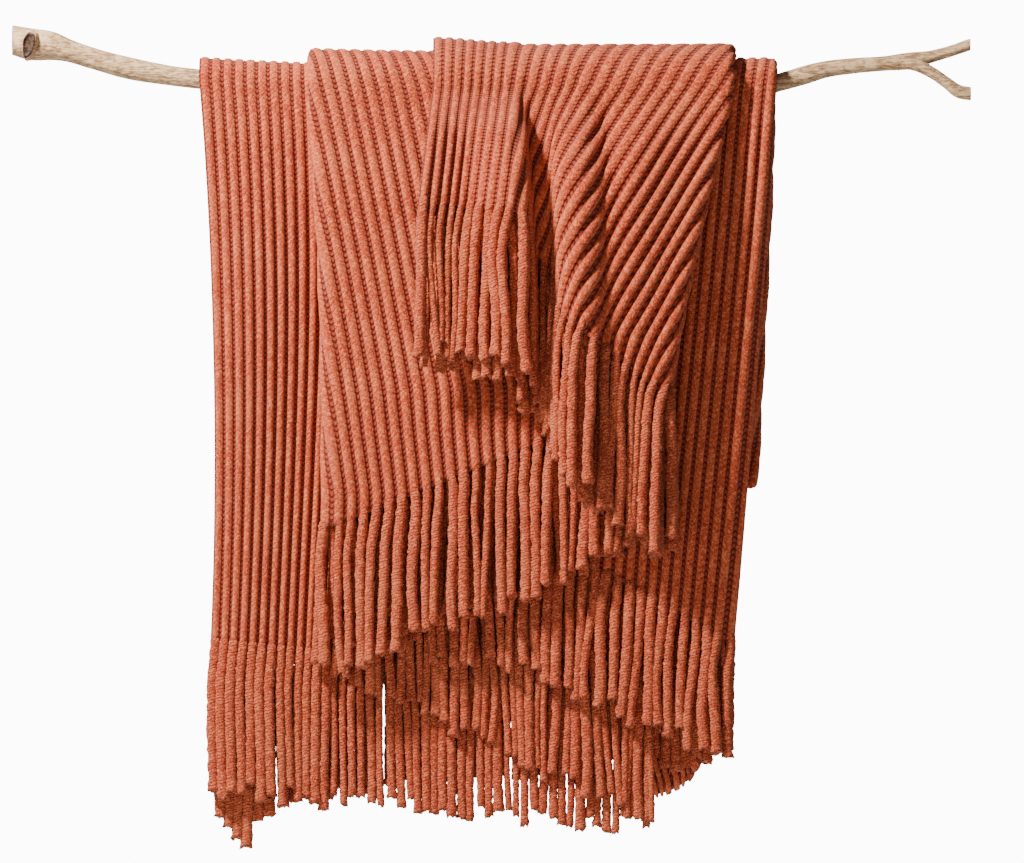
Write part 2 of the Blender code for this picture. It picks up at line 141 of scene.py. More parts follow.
# How the strands stray from straight down, less so where they hang close
LINE_SEED = 40
STRAND_SPLAY = 0.0023
STRAND_DRIFT = 0.0050
DRIFT_REACH = 5
DRIFT_POWER = 1.6
STRAND_LEAN = 0.0026
STRAND_BOW = 0.0024
BOW_WAVES = (1.0, 2.4)
STRAND_STAGGER = 0.0012
STAGGER_REACH = 2
STAGGER_DROP = 0.030
CLOSEST = 0.2
REAR_CALM = 0.48
FOLD_PULL = 0.0038
LOCK_DROP = 0.030
LOCK_X = 0.163
LOCK_WIDTH = 0.014

# The strands' pile, their neck at the hem and their frayed tips
PILE_SEED = 70
PILE_DEPTH = 0.085
PILE_PITCH = 0.0022
NECK = 0.30
NECK_REACH = 0.03
TIP_SWELL = 0.14
TIP_FROM = 0.90
TIP_SPAN = 0.10
TIP_HOLLOW = 0.0012
FRAY_WIDTH = (-0.35, 0.25)
FRAY_LENGTH = (-0.0022, 0.0008)

# The camera, face on to the hanging throw
PIXEL = 0.0007
PHOTO_WIDTH = 1024
PHOTO_HEIGHT = 863
ORIGIN_PIXEL = (10, 38)
CAMERA_DISTANCE = 6.0
SUBJECT_Y = -0.03
SENSOR = 36.0

# Lines that run down the throw. turn is the side that a fold points to. The
# rib numbers and places across are those at the foot in front, on the branch
# and at the bend behind, and x_bow is how far the line bows between them. The
# drops are those of the two plies in front and of the bend. forward and lift
# move a line out of its panel at the foot and on top. The last two are the
# lengths of the strands of both plies.
Line = namedtuple("Line", "name turn rib_foot rib_front rib_behind rib_bend "
                  "x_foot x_bow x_top x_bend drop_1 drop_2 drop_bend "
                  "forward lift strand_1 strand_2")
LINES = (
    Line("flap_edge", 0, 0, 0, 0, 0,
         0.286, 0.0, 0.296, 0.450, 0.082, 0.090, 0.492,
         0.008, 0.0045, 0.100, 0.102),
    Line("flap_crest", 0, 10, 7.8, 6.3, 2.6,
         0.3535, 0.0, 0.3495, 0.462, 0.089, 0.100, 0.489,
         0.016, 0.0015, 0.104, 0.104),
    Line("flap_valley", 0, 15.2, 9.4, 7.4, 3.5,
         0.3700, 0.0, 0.3640, 0.468, 0.120, 0.129, 0.486,
         -0.008, 0.0, 0.104, 0.104),
    Line("flap_ridge", 0, 23, 13.3, 10.0, 5.0,
         0.4010, 0.0, 0.3980, 0.475, 0.174, 0.181, 0.482,
         0.017, 0.0, 0.104, 0.104),
    Line("right_fold", 1, 31.5, 23, 18, 9,
         0.463, -0.0035, 0.510, 0.500, 0.212, 0.217, 0.467,
         0.0, 0.0, 0.108, 0.104),
    Line("left_fold", -1, 59, 54, 52, 48,
         0.218, 0.004, 0.2065, 0.224, 0.286, 0.309, 0.343,
         0.0, 0.0, 0.102, 0.102),
    Line("outer_fold", 1, 95, 94, 93, 88,
         0.5075, 0.0, 0.539, 0.525, 0.387, 0.415, 0.278,
         0.0, 0.0, 0.082, 0.102),
    Line("rear_edge", 0, 144, 144, 144, 144,
         0.140, 0.007, 0.1316, 0.150, 0.407, 0.395, 0.267,
         0.0, 0.0, 0.100, 0.102),
)

# Depth of every panel from the branch's centre line: in front at the foot, on
# top and at the bend behind
Panel = namedtuple("Panel", "name foot top bend first_rib last_rib")
PANELS = (
    Panel("flap", 0.060, 0.0384, 0.0450, 0, 31),
    Panel("middle", 0.042, 0.0304, 0.0330, 31, 59),
    Panel("hidden", 0.028, 0.0224, 0.0220, 59, 95),
    Panel("rear", 0.014, 0.0144, 0.0120, 95, 144),
)

# Corners of the folded section: a line on a panel. A fold joins two corners.
Corner = namedtuple("Corner", "line panel")
CORNERS = (
    Corner(0, 0), Corner(1, 0), Corner(2, 0), Corner(3, 0), Corner(4, 0),
    Corner(4, 1), Corner(5, 1), Corner(5, 2), Corner(6, 2), Corner(6, 3),
    Corner(7, 3),
)
LAST_T = len(CORNERS) - 1

# First corners of the folds and of the other stretches with a form of their own
FOLD_STARTS = (4, 6, 8)
WAVE_STARTS = (1, 2)
DIP_SEGMENT = 3
HIDDEN_SEGMENT = 7
REAR_SEGMENT = 9

# Small step in t or s, for directions on the surface
NEARBY = 1e-4


def ease(share):
    """Smooth step from 0 to 1."""
    share = np.clip(share, 0.0, 1.0)
    return share * share * (3.0 - 2.0 * share)


def branch_z(x):
    """Height of the branch's centre line under the cloth."""
    share = np.clip(np.abs((x - BRANCH_MIDDLE_X) / BRANCH_HALF_SPAN), 0.0, PAST_SPAN)
    return BRANCH_END_Z - BRANCH_SAG * (1.0 - share ** 3)


def shares(line, s):
    """How far s has gone down the front, over the branch and down the back."""
    front = np.clip(-s / line.drop_1, 0.0, PAST_FOOT)
    over = np.clip(s / math.pi, 0.0, 1.0)
    back = np.clip((s - math.pi) / line.drop_bend, 0.0, 1.0)
    return front, over, back


def line_x(line, s, ply):
    """Sideways place of a line."""
    front, _, back = shares(line, s)
    x = line.x_top + (line.x_foot - line.x_top) * front
    x = x + line.x_bow * 4.0 * front * (1.0 - front)
    if ply == 2 and line.name == "outer_fold":
        x = x - INNER_PULL * ease(front)
    return x + (line.x_bend - line.x_top) * back


def line_rib(line, s):
    """Rib number at a line."""
    front, over, back = shares(line, s)
    rib = line.rib_front + (line.rib_foot - line.rib_front) * np.minimum(front, 1.0)
    rib = rib + (line.rib_behind - line.rib_front) * over
    return rib + (line.rib_bend - line.rib_behind) * back


def squeeze(s):
    """Share that is left of the stack's depth, pressed together at the branch."""
    drop = np.maximum(-s, s - math.pi)
    return 1.0 - SQUEEZE * (1.0 - ease(drop / SPREAD_DROP))


def corner_depth(corner, s):
    """Distance of a corner from the branch's centre line, midway between plies.

    The first part is that of the stack on the branch, the second what the
    panel gains as it hangs.
    """
    line = LINES[corner.line]
    panel = PANELS[corner.panel]
    inner = PANELS[-1].top - STACKED_GAP / 2.0
    front, _, back = shares(line, s)
    stack = inner + (panel.top - inner) * squeeze(s)
    forward_spread = FORWARD_SPREAD if line.forward > 0.0 else 1.0
    reach = (panel.foot - panel.top) * ease(front) + line.forward * ease(forward_spread * front)
    reach = reach + (panel.bend - panel.top) * ease(BACK_SPREAD * back)
    reach = reach + line.lift * (1.0 - ease(front)) * (1.0 - ease(BACK_SPREAD * back))
    if corner.panel == 0 and line.turn == 0:
        reach = reach + BEND_REACH * ease(back)
    return stack, reach


def ply_gap(t, s):
    """Distance between the two plies."""
    drop = np.maximum(-s, s - math.pi)
    stacked = STACKED_GAP * squeeze(s)
    gap = stacked + (HANGING_GAP - stacked) * ease(drop / SPREAD_DROP)
    back = np.clip((s - math.pi) / LINES[0].drop_bend, 0.0, 1.0)
    return gap + ROLL_GAP * ease(2.0 * back - 1.0) * ease(FOLD_STARTS[0] - t)


def corner_table(s, ply):
    """x, rib number, stack depth and reach of every corner for each s."""
    table = np.zeros((4, len(CORNERS)) + np.shape(s))
    for number, corner in enumerate(CORNERS):
        line = LINES[corner.line]
        table[0, number] = line_x(line, s, ply)
        table[1, number] = line_rib(line, s)
        table[2, number], table[3, number] = corner_depth(corner, s)
    depth = table[2] + table[3]
    for start in FOLD_STARTS:
        radius = (depth[start] - depth[start + 1]) / 2.0
        turn = LINES[CORNERS[start].line].turn
        inset = radius + HANGING_GAP / 2.0 + SHEET_THICKNESS / 2.0
        table[0, start] -= turn * inset
        table[0, start + 1] -= turn * inset
        ribs = radius * math.pi / 2.0 / RIB_PITCH
        table[1, start] -= ribs
        table[1, start + 1] += ribs
    return table


def ripple(x, segment, share, s):
    """Soft waves: the rear panel's bulge, the flap's hollow and dip."""
    drop = np.maximum(-s, 0.0)
    off_centre = (x - REAR_BULGE_X) / REAR_BULGE_WIDTH
    bulge = REAR_BULGE * np.exp(-0.5 * off_centre ** 2) * ease(drop / REAR_BULGE_DROP)
    wave = FLAP_WAVE * (1.0 - np.cos(2.0 * math.pi * share)) / 2.0 * ease(drop / FLAP_WAVE_DROP)
    past = x - FLAP_DIP_X
    width = np.where(past < 0.0, FLAP_DIP_STEEP, FLAP_DIP_GENTLE)
    dip = FLAP_DIP * np.exp(-(past / width) ** 2) * ease(drop / FLAP_DIP_DROP)
    forward = np.where(segment == 0, -wave, np.where(segment == DIP_SEGMENT, -dip, 0.0))
    return np.where(segment == REAR_SEGMENT, bulge, forward)


def middle_point(t, s, ply):
    """Point of the surface midway between the plies, and its rib number."""
    t, s = np.broadcast_arrays(np.asarray(t, dtype=float), np.asarray(s, dtype=float))
    table = corner_table(s, ply)
    segment = np.clip(np.floor(t), 0, len(CORNERS) - 2).astype(int)
    share = t - segment
    first = np.take_along_axis(table, segment[None, None], axis=1)[:, 0]
    second = np.take_along_axis(table, segment[None, None] + 1, axis=1)[:, 0]
    is_fold = np.isin(segment, FOLD_STARTS)
    is_wave = np.isin(segment, WAVE_STARTS)
    round_share = (1.0 - np.cos(math.pi * share)) / 2.0
    stack_share = np.where(is_fold, round_share, share)

    swing = VALLEY_SWING * np.clip(np.abs(first[3] - second[3]) / VALLEY_FULL, 0.0, 1.0)
    shift = swing * np.sin(2.0 * math.pi * share) / (2.0 * math.pi)
    x = first[0] + (second[0] - first[0]) * (share + np.where(is_wave, shift, 0.0))
    depth = first[2] + (second[2] - first[2]) * stack_share
    depth = depth + first[3] + (second[3] - first[3]) * round_share
    depth = depth + ripple(x, segment, share, s)

    radius = (first[2] + first[3] - second[2] - second[3]) / 2.0
    turn = np.where(segment == FOLD_STARTS[1], -1.0, 1.0)
    x = np.where(is_fold, first[0] + turn * radius * np.sin(math.pi * share), x)
    rib = first[1] + (second[1] - first[1]) * share

    angle = np.clip(s, 0.0, math.pi)
    drop = np.maximum(-s, 0.0) + np.maximum(s - math.pi, 0.0)
    y = -depth * np.cos(angle)
    z = branch_z(x) - drop + depth * np.sin(angle)
    return np.stack([x, y, z], axis=-1), rib


def unit(vectors):
    """Vectors scaled to length 1."""
    return vectors / np.linalg.norm(vectors, axis=-1, keepdims=True)


def middle_frame(t, s, ply):
    """Point, direction along the ply and normal of the middle surface."""
    point, _ = middle_point(t, s, ply)
    across = middle_point(np.minimum(t + NEARBY, LAST_T), s, ply)[0]
    across = across - middle_point(np.maximum(t - NEARBY, 0.0), s, ply)[0]
    along = middle_point(t, s + NEARBY, ply)[0] - middle_point(t, s - NEARBY, ply)[0]
    return point, unit(along), unit(np.cross(across, along))


def ply_point(t, s, ply):
    """Point of a ply and the normal of its outer face."""
    point, _, normal = middle_frame(t, s, ply)
    side = 1.0 if ply == 1 else -1.0
    offset = side * ply_gap(t, s)[..., None] / 2.0
    return point + offset * normal, side * normal


def bend_point(t, turn):
    """Point and normal on the crosswise bend, turn being 0 to pi."""
    s = math.pi + line_drop(t, "drop_bend")
    point, along, normal = middle_frame(t, s, 1)
    outward = normal * math.cos(turn) + along * math.sin(turn)
    return point + outward * ply_gap(t, s)[..., None] / 2.0, outward


def line_drop(t, column):
    """Drop of the sheet's end or bend at t, between the lines' own drops."""
    drops = [getattr(LINES[corner.line], column) for corner in CORNERS]
    drop = np.interp(t, np.arange(len(CORNERS)), drops)
    if column == "drop_1":
        share = np.clip(t - HIDDEN_SEGMENT, 0.0, 1.0)
        drop = drop - HIDDEN_BELLY * 4.0 * share * (1.0 - share)
    return drop


def rows_of_a_ply():
    """(zone, share) of every row of a ply, from its fringed end to the bend."""
    rows = [("front", 1.0 - row / FRONT_ROWS) for row in range(FRONT_ROWS)]
    rows += [("over", row / OVER_ROWS) for row in range(OVER_ROWS)]
    rows += [("back", row / BACK_ROWS) for row in range(BACK_ROWS)]
    return rows


def row_place(t, zone, share, ply):
    """s along one row."""
    if zone == "front":
        return -line_drop(t, "drop_%d" % ply) * share
    if zone == "over":
        return np.full(np.shape(t), math.pi * share)
    return math.pi + line_drop(t, "drop_bend") * share


@functools.lru_cache(maxsize=None)
def ribs_of_a_row(zone, share, ply):
    """Finely spaced t along a row, and the rib number at each."""
    fine = np.linspace(0.0, LAST_T, FINE_PLACES)
    return fine, middle_point(fine, row_place(fine, zone, share, ply), ply)[1]


def t_of_ribs(ribs, zone, share, ply):
    """t at which a row crosses each rib number."""
    fine, found = ribs_of_a_row(zone, share, ply)
    return np.interp(ribs, found, fine)


def sheet_rows(ribs):
    """Points, normals and relief scale, row by row from one end to the other."""
    rows = []
    for ply in (1, 2):
        ply_rows = []
        for zone, share in rows_of_a_ply():
            t = t_of_ribs(ribs, zone, share, ply)
            s = row_place(t, zone, share, ply)
            point, normal = ply_point(t, s, ply)
            swell = 1.0 + RIB_SWELL * ease(np.maximum(-s, s - math.pi) / SWELL_DROP)
            ply_rows.append((point, normal, swell))
        if ply == 2:
            ply_rows.reverse()
        else:
            t = t_of_ribs(ribs, "back", 1.0, 1)
            for row in range(BEND_ROWS + 1):
                point, normal = bend_point(t, math.pi * row / BEND_ROWS)
                ply_rows.append((point, normal, np.full(t.shape, 1.0 + RIB_SWELL)))
        rows += ply_rows
    return rows


def new_object(name, vertices, faces, material):
    """Smooth object from an array of vertices and a list of faces."""
    mesh = bpy.data.meshes.new(name)
    mesh.from_pydata(vertices.tolist(), [], faces)
    mesh.update()
    mesh.shade_smooth()
    mesh.materials.append(material)
    piece = bpy.data.objects.new(name, mesh)
    bpy.context.scene.collection.objects.link(piece)
    return piece


def add_places(piece, place):
    """Give every vertex its place in the knit, as texture coordinates."""
    corners = np.zeros(len(piece.data.loops), dtype=np.int32)
    piece.data.loops.foreach_get("vertex_index", corners)
    layer = piece.data.uv_layers.new(name="knit")
    layer.data.foreach_set("uv", place[corners].astype(np.float32).ravel())


def build_cloth(material):
    """The sheet, one piece for each panel's ribs: ribbed outside, plain inside."""
    pieces = []
    for panel in PANELS:
        whole = np.arange(panel.first_rib, panel.last_rib)
        ribs = (whole[:, None] + np.array(RIB_SHARES)[None, :]).ravel()
        ribs = np.append(ribs, panel.last_rib)
        heights = np.append(np.tile(RIB_HEIGHTS, len(whole)), RIB_HEIGHTS[0])
        rows = sheet_rows(ribs)
        width = len(ribs)
        inner = np.arange(0, width, INNER_STEP)
        points = np.stack([row[0] for row in rows])
        normals = np.stack([row[1] for row in rows])
        swell = np.stack([row[2] for row in rows])
        lift = RIB_BASE + RIB_RELIEF * heights[None, :] * swell
        outside = points + normals * lift[..., None]
        inside = (points - normals * INNER_FACE)[:, inner]
        steps = np.linalg.norm(np.diff(points[:, width // 2], axis=0), axis=-1)
        length = np.concatenate([[0.0], np.cumsum(steps)])
        pieces.append(panel_object(panel, outside, inside, ribs, length, material))
    return pieces


def panel_object(panel, outside, inside, ribs, length, material):
    """Closed mesh between an outer and a coarser inner face."""
    height, width = outside.shape[:2]
    narrow = inside.shape[1]
    below = height * width
    vertices = np.concatenate([outside.reshape(-1, 3), inside.reshape(-1, 3)])
    faces = []
    for row in range(height - 1):
        first = row * width
        for column in range(first, first + width - 1):
            faces.append((column, column + 1, column + 1 + width, column + width))
        first = below + row * narrow
        for column in range(first, first + narrow - 1):
            faces.append((column + 1, column, column + narrow, column + 1 + narrow))
    for row in range(height - 1):
        left, left_in = row * width, below + row * narrow
        faces.append((left, left + width, left_in + narrow, left_in))
        right, right_in = left + width - 1, left_in + narrow - 1
        faces.append((right + width, right, right_in, right_in + narrow))
    for row, turned in ((0, False), (height - 1, True)):
        for step in range(narrow - 1):
            first = row * width + step * INNER_STEP
            low = below + row * narrow + step
            face = [low, low + 1] + [first + k for k in range(INNER_STEP, -1, -1)]
            faces.append(tuple(reversed(face)) if turned else tuple(face))
    piece = new_object("cloth_" + panel.name, vertices, faces, material)
    stitches = length / STITCH_PITCH
    place = np.concatenate([
        np.stack([np.tile(ribs, height), np.repeat(stitches, width)], axis=-1),
        np.stack([np.tile(ribs[::INNER_STEP], height), np.repeat(stitches, narrow)], axis=-1),
    ])
    add_places(piece, place)
    return piece


def strand_roots(ply):
    """t of every strand, its root, the level normal and the rib's slope there."""
    ribs = np.arange(RIBS) + 0.5
    t = t_of_ribs(ribs, "front", 1.0, ply)
    root, normal = ply_point(t, -line_drop(t, "drop_%d" % ply), ply)
    above = t_of_ribs(ribs, "front", HEM_SHARE, ply)
    higher, _ = ply_point(above, row_place(above, "front", HEM_SHARE, ply), ply)
    slope = (root - higher) / (higher[:, 2:] - root[:, 2:])
    slope = np.clip(slope, -STEEPEST, STEEPEST) * [1.0, 1.0, 0.0]
    return t, root, unit(normal * [1.0, 1.0, 0.0]), slope


def strand_radii(lines, others):
    """Radii that leave room between each strand and its nearest others."""
    radii = np.full(len(lines), STRAND_RADIUS)
    every = np.concatenate([lines, others])
    for number, line in enumerate(lines):
        shared = (every[:, -1, 2] < line[0, 2]) & (every[:, 0, 2] > line[-1, 2])
        shared[number] = False
        apart = every[shared, -1, :2] - line[-1, :2]
        nearest = np.linalg.norm(apart, axis=1).min()
        radii[number] = max(LEAST_RADIUS, min(radii[number], STRAND_ROOM * nearest))
    return radii


def strand_lengths(root, t, ply):
    """Length of every strand; a lock near the rear edge hangs lower."""
    given = [getattr(LINES[corner.line], "strand_%d" % ply) for corner in CORNERS]
    lengths = np.interp(t, np.arange(len(CORNERS)), given)
    lock = np.exp(-((root[:, 0] - LOCK_X) / LOCK_WIDTH) ** 2)
    return lengths + np.where((t > LAST_T - 1) & (ply == 1), LOCK_DROP * lock, 0.0)


def smooth_chance(chance, reach):
    """Random values about zero, one a strand, alike over a few neighbours."""
    values = chance.uniform(-1.0, 1.0, RIBS + reach - 1)
    return np.convolve(values, np.ones(reach) / math.sqrt(reach), "valid")[:, None]


def strand_sway(chance, share):
    """How far every strand strays sideways and outward along its length."""
    drift = smooth_chance(chance, DRIFT_REACH) * STRAND_DRIFT * share ** DRIFT_POWER
    lean = chance.uniform(-1, 1, (RIBS, 1)) * STRAND_LEAN * share
    bow = chance.uniform(-1, 1, (RIBS, 1)) * STRAND_BOW
    bow = bow * np.sin(math.pi * share * chance.uniform(*BOW_WAVES, (RIBS, 1)))
    stagger = smooth_chance(chance, STAGGER_REACH) * STRAND_STAGGER * ease(3.0 * share)
    return drift + lean + bow, STRAND_SPLAY * ease(2.0 * share) + stagger


def strand_lines(ply):
    """Centres along every strand, from just inside the knit to its tip."""
    chance = np.random.default_rng(LINE_SEED + ply)
    t, root, level, slope = strand_roots(ply)
    spacing = np.linalg.norm(np.gradient(root[:, :2], axis=0), axis=1)
    calm = np.where(t > FOLD_STARTS[-1], REAR_CALM, 1.0)
    room = (np.clip(spacing / RIB_PITCH, CLOSEST, 1.0) * calm)[:, None]
    share = np.linspace(0.0, 1.0, STRAND_RINGS)[None, :]
    spread = chance.uniform(-1, 1, RIBS) * LENGTH_SPREAD
    length = (strand_lengths(root, t, ply) + spread)[:, None] + STRAND_OVERLAP
    across, outward = strand_sway(chance, share)
    across = across * room
    side = np.cross(level, [0.0, 0.0, 1.0])
    lines = root[:, None] + side[:, None] * across[..., None] + level[:, None] * outward[..., None]
    drop = length * share - STRAND_OVERLAP
    turned = STRAND_TURN * (1.0 - np.exp(-drop / STRAND_TURN))
    lines = lines + slope[:, None] * turned[..., None]
    one_rib = np.gradient(root, axis=0) * [1.0, 1.0, 0.0]
    stagger = (PLACE_IN_RIB[ply] - 0.5) * ease(drop / STAGGER_DROP)
    lines = lines + one_rib[:, None] * stagger[..., None]
    on_fold = (t > FOLD_STARTS[-1]) & (t < REAR_SEGMENT)
    lines[..., 0] -= on_fold[:, None] * FOLD_PULL * ease(drop / STAGGER_DROP)
    lines[..., 2] -= drop
    return lines


def strand_points(chance, lines, radii):
    """Vertices of every strand: its rings from the top down, then its tip."""
    angle = 2.0 * math.pi * np.arange(STRAND_SIDES) / STRAND_SIDES
    share = np.linspace(0.0, 1.0, STRAND_RINGS)
    neck = NECK * np.exp(-share / NECK_REACH)
    shape = 1.0 - neck + TIP_SWELL * ease((share - TIP_FROM) / TIP_SPAN)
    pile = 1.0 + chance.normal(0.0, PILE_DEPTH, (RIBS, STRAND_RINGS, STRAND_SIDES))
    pile[:, -1] += chance.uniform(*FRAY_WIDTH, (RIBS, STRAND_SIDES))
    radius = radii[:, None, None] * shape[None, :, None] * pile
    ring = np.stack([np.cos(angle), np.sin(angle), 0.0 * angle], axis=-1)
    points = lines[:, :, None] + ring * radius[..., None]
    points[:, -1, :, 2] += chance.uniform(*FRAY_LENGTH, (RIBS, STRAND_SIDES))
    tips = lines[:, -1] + [0.0, 0.0, TIP_HOLLOW]
    return np.concatenate([points.reshape(RIBS, -1, 3), tips[:, None]], axis=1)


def strand_faces(per_strand):
    """Faces of every strand: its sides, its hollow tip and its flat top."""
    ring = [(here, (here + 1) % STRAND_SIDES) for here in range(STRAND_SIDES)]
    faces = []
    for base in range(0, RIBS * per_strand, per_strand):
        end = base + per_strand - 1
        last = end - STRAND_SIDES
        for low in range(base, last, STRAND_SIDES):
            high = low + STRAND_SIDES
            faces += [(low + here, high + here, high + after, low + after) for here, after in ring]
        faces += [(last + here, end, last + after) for here, after in ring]
        faces.append(tuple(range(base, base + STRAND_SIDES)))
    return faces


def strand_places(lines, per_strand):
    """Place of every vertex in the pile: the turn round its strand and the row."""
    down = -(lines[:, :, 2] - lines[:, :1, 2]) / PILE_PITCH
    place = np.zeros((RIBS, per_strand, 2))
    place[:, :-1, 0] = np.tile(np.arange(STRAND_SIDES) / STRAND_SIDES, STRAND_RINGS)[None, :]
    place[:, :-1, 1] = np.repeat(down, STRAND_SIDES, axis=1)
    place[:, -1, 1] = down[:, -1]
    place[..., 0] += np.arange(RIBS)[:, None]
    return place.reshape(-1, 2)


def build_fringe(name, ply, material):
    """All the chenille strands of one end, as soft tubes with frayed, cut tips."""
    chance = np.random.default_rng(PILE_SEED + ply)
    lines = strand_lines(ply)
    radii = strand_radii(lines, strand_lines(3 - ply))
    radii = radii * (1.0 + chance.uniform(-1, 1, RIBS) * RADIUS_SPREAD)
    points = strand_points(chance, lines, radii)
    per_strand = points.shape[1]
    piece = new_object(name, points.reshape(-1, 3), strand_faces(per_strand), material)
    add_places(piece, strand_places(lines, per_strand))
    return piece


# The branch: points of its centre line with the wood's radius there
Spot = namedtuple("Spot", "x y z radius")
STEM_LEFT = (
    Spot(0.000, 0.0, 0.000, 0.0105),
    Spot(0.013, 0.0, -0.0032, 0.0114),
    Spot(0.027, 0.0, -0.0043, 0.0104),
    Spot(0.038, 0.0, -0.0072, 0.0084),
    Spot(0.056, 0.0, -0.0130, 0.0077),
    Spot(0.082, 0.0, -0.0200, 0.0079),
    Spot(0.108, 0.0, -0.0247, 0.0071),
)
STEM_RIGHT = (
    Spot(0.545, 0.0, -0.0285, 0.0062),
    Spot(0.556, 0.0, -0.0252, 0.0066),
    Spot(0.571, 0.0, -0.0210, 0.0060),
    Spot(0.592, 0.0, -0.0182, 0.0056),
    Spot(0.614, 0.0, -0.0166, 0.0054),
    Spot(0.630, 0.001, -0.0148, 0.0062),
    Spot(0.646, 0.002, -0.0117, 0.0046),
    Spot(0.660, 0.002, -0.0078, 0.0041),
    Spot(0.674, 0.002, -0.0030, 0.0043),
)
SIDE_TWIG = (
    Spot(0.622, 0.0, -0.0158, 0.0044),
    Spot(0.634, -0.002, -0.0172, 0.0046),
    Spot(0.646, -0.003, -0.0228, 0.0042),
    Spot(0.658, -0.004, -0.0310, 0.0042),
    Spot(0.665, -0.004, -0.0362, 0.0048),
    Spot(0.674, -0.004, -0.0380, 0.0047),
)
STUB = (
    Spot(0.0150, -0.0020, -0.0038, 0.0086),
    Spot(0.0135, -0.0085, -0.0036, 0.0078),
    Spot(0.0120, -0.0135, -0.0034, 0.0070),
)

# Width and height of the stub, and its hollow as shares of its size and depths
STUB_SHAPE = (0.62, 1.25)
STUB_HOLLOW = ((0.84, -0.0006), (0.72, 0.0006), (0.36, 0.0014))

# The part of the stem that is under the cloth
COVERED_STEPS = 9
COVERED_FROM = 0.135
COVERED_TO = 0.525
COVERED_RADIUS = 0.0070

# The wood's mesh and relief: flutes as (height, number, twist, start), knots
BRANCH_SIDES = 40
BRANCH_STEP = 0.0022
CREASE = math.radians(60)
WOOD_BASE = 0.97
FLUTES = ((0.035, 3, 9.0, 0.0), (0.025, 5, -21.0, 1.3), (0.018, 9, 47.0, 0.0))
KNOTS = 16
KNOT_SIZE = (0.003, 0.008)
KNOT_HEIGHT = (0.05, 0.16)
KNOT_ARC = 0.5
STEM_SEED = 5
TWIG_SEED = 6
STUB_SEED = 7


def stem_spots():
    """The stem from end to end, sagging under the cloth."""
    covered = []
    for step in range(COVERED_STEPS):
        x = COVERED_FROM + (COVERED_TO - COVERED_FROM) * step / (COVERED_STEPS - 1)
        covered.append(Spot(x, 0.0, float(branch_z(x)), COVERED_RADIUS))
    return STEM_LEFT + tuple(covered) + STEM_RIGHT


def smooth_line(spots):
    """Centres and radii along a smooth curve through the spots."""
    given = np.array(spots)
    steps = np.linalg.norm(np.diff(given[:, :3], axis=0), axis=1)
    reach = np.concatenate([[0.0], np.cumsum(steps)])
    slope = np.gradient(given, reach, axis=0)
    fine = np.linspace(0.0, reach[-1], int(reach[-1] / BRANCH_STEP) + 2)
    index = np.clip(np.searchsorted(reach, fine, side="right") - 1, 0, len(reach) - 2)
    span = (reach[index + 1] - reach[index])[:, None]
    h = ((fine - reach[index])[:, None]) / span
    line = (2 * h ** 3 - 3 * h ** 2 + 1) * given[index]
    line = line + (h ** 3 - 2 * h ** 2 + h) * span * slope[index]
    line = line + (3 * h ** 2 - 2 * h ** 3) * given[index + 1]
    return line + (h ** 3 - h ** 2) * span * slope[index + 1]


def wood_relief(angle, along, chance):
    """Share of the radius added by flutes, knots and old bark scars."""
    relief = 0.0
    for height, number, twist, start in FLUTES:
        relief = relief + height * np.sin(number * angle + along * twist + start)
    for _ in range(KNOTS):
        centre = chance.uniform(0.0, along.max())
        facing = chance.uniform(0.0, 2.0 * math.pi)
        size = chance.uniform(*KNOT_SIZE)
        height = chance.uniform(*KNOT_HEIGHT)
        turned = np.angle(np.exp(1j * (angle - facing)))
        fade = ((along - centre) / size) ** 2 + (turned / KNOT_ARC) ** 2
        relief = relief + height * np.exp(-fade)
    return relief


def build_wood(name, spots, level_ends, seed, material, shape=(1.0, 1.0), hollow=()):
    """One limb of the branch, its end sunk in by the rings of a hollow."""
    chance = np.random.default_rng(seed)
    line = smooth_line(spots)
    ahead = unit(np.gradient(line[:, :3], axis=0))
    if level_ends:
        ahead[0] = [1.0, 0.0, 0.0]
        ahead[-1] = [1.0, 0.0, 0.0]
    side = unit(np.cross(np.cross(ahead, [0.0, 1.0, 0.0]), ahead))
    upward = np.cross(side, ahead)
    angle = 2.0 * math.pi * np.arange(BRANCH_SIDES) / BRANCH_SIDES
    along = np.arange(len(line)) * BRANCH_STEP
    relief = wood_relief(angle[None, :], along[:, None], chance)
    radius = line[:, 3:4] * (WOOD_BASE + relief)
    out = side[:, None] * (shape[0] * np.cos(angle))[None, :, None]
    out = out + upward[:, None] * (shape[1] * np.sin(angle))[None, :, None]
    points = list(line[:, None, :3] + out * radius[..., None])
    for share, depth in hollow:
        centre = line[-1, :3] - ahead[-1] * depth
        points.append(centre + out[-1] * radius[-1][:, None] * share)
    faces = limb_faces(len(points))
    piece = new_object(name, np.concatenate(points), faces, material)
    piece.data.set_sharp_from_angle(angle=CREASE)
    if hollow:
        piece.data.materials.append(heartwood_material())
        first_dark = (len(line) - 1) * BRANCH_SIDES
        first_cap = len(faces) - 2
        for number, face in enumerate(piece.data.polygons):
            face.material_index = int(number >= first_dark and number != first_cap)
    return piece


def limb_faces(rings):
    """Faces between the rings of a limb, then a cap on the first and the last."""
    faces = []
    for low in range(0, (rings - 1) * BRANCH_SIDES, BRANCH_SIDES):
        high = low + BRANCH_SIDES
        for corner in range(BRANCH_SIDES):
            after = (corner + 1) % BRANCH_SIDES
            faces.append((low + corner, low + after, high + after, high + corner))
    last = (rings - 1) * BRANCH_SIDES
    faces.append(tuple(reversed(range(BRANCH_SIDES))))
    faces.append(tuple(range(last, last + BRANCH_SIDES)))
    return faces


